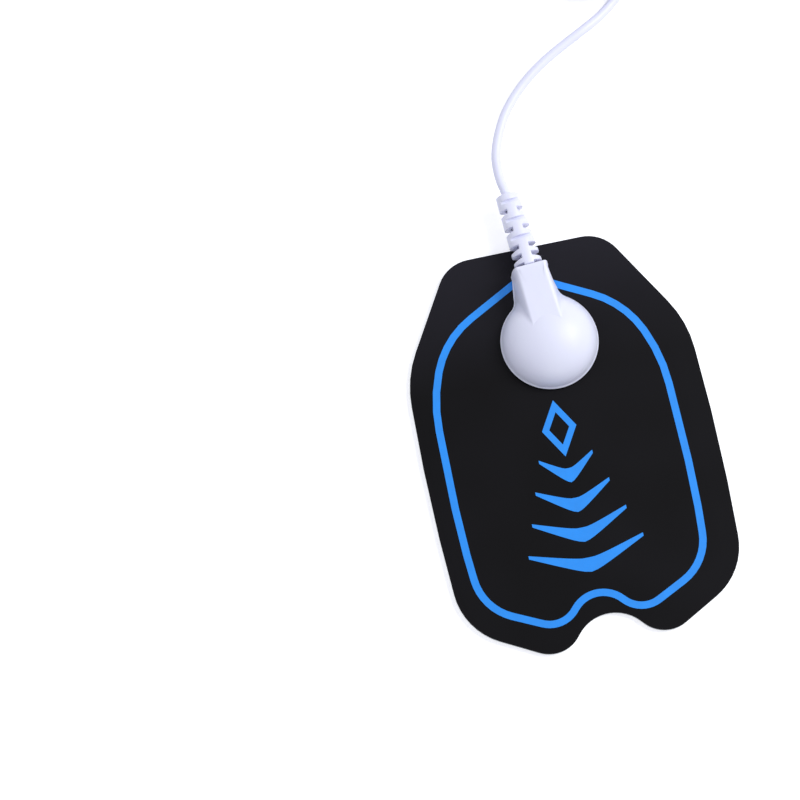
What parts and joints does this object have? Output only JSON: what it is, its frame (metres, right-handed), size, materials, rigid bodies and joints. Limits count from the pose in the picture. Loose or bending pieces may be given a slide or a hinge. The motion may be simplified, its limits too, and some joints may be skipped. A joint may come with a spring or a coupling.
{
  "type": "tens electrode pad",
  "caption": "Contoured self-adhesive stimulation electrode pad with a snap stud, its domed snap lead clicked on, and the spare cable in a tied coil with a pin plug.",
  "frame": {"origin": "on the snap stud's axis, in the gel's skin face", "axes": "+Z out of the pad along the stud, +Y along the pad towards the lead, +X to the right with the lead pointing up"},
  "size_m": [0.0767, 0.1667, 0.0092],
  "materials": {
    "hydrogel": "tacky, slightly cloudy gel",
    "carbon_film": "matte carbon-loaded film",
    "black_film": "satin black film",
    "blue_ink": "satin screen print",
    "nickel_steel": "nickel plated",
    "plated_brass": "plain drawn brass",
    "copper_strands": "twisted copper strands",
    "white_plastic": "satin moulded, cool white",
    "cable_jacket": "satin flexible jacket",
    "tie_band": "matte"
  },
  "bodies": {
    "pad": {"gel_pad": "hydrogel", "conductive_film": "carbon_film", "cover_film": "black_film", "contour_stripe": "blue_ink", "print_lozenge": "blue_ink", "print_chevron_1": "blue_ink", "print_chevron_2": "blue_ink", "print_chevron_3": "blue_ink", "print_chevron_4": "blue_ink", "snap_stud": "nickel_steel", "snap_eyelet": "nickel_steel"},
    "spring": {"ring_spring": "nickel_steel"},
    "lead": {"connector_cap": "white_plastic", "connector_base": "white_plastic", "snap_socket": "plated_brass", "crimp_terminal": "plated_brass", "conductor": "copper_strands", "strain_relief": "white_plastic", "lead_cord": "cable_jacket", "lead_coil": "cable_jacket", "lead_tail": "cable_jacket", "coil_tie": "tie_band", "plug_body": "white_plastic", "plug_pin": "nickel_steel"}
  },
  "joints": [
    {"name": "pull_off", "type": "slide", "parent": "pad", "child": "spring", "axis": [0, 0, 1], "range_m": [0, 0.006], "deforming": ["ring_spring"]},
    {"name": "swivel", "type": "hinge", "parent": "spring", "child": "lead", "pos_m": [0, 0, 0.00252], "axis": [0, 0, 1], "continuous": true}
  ]
}
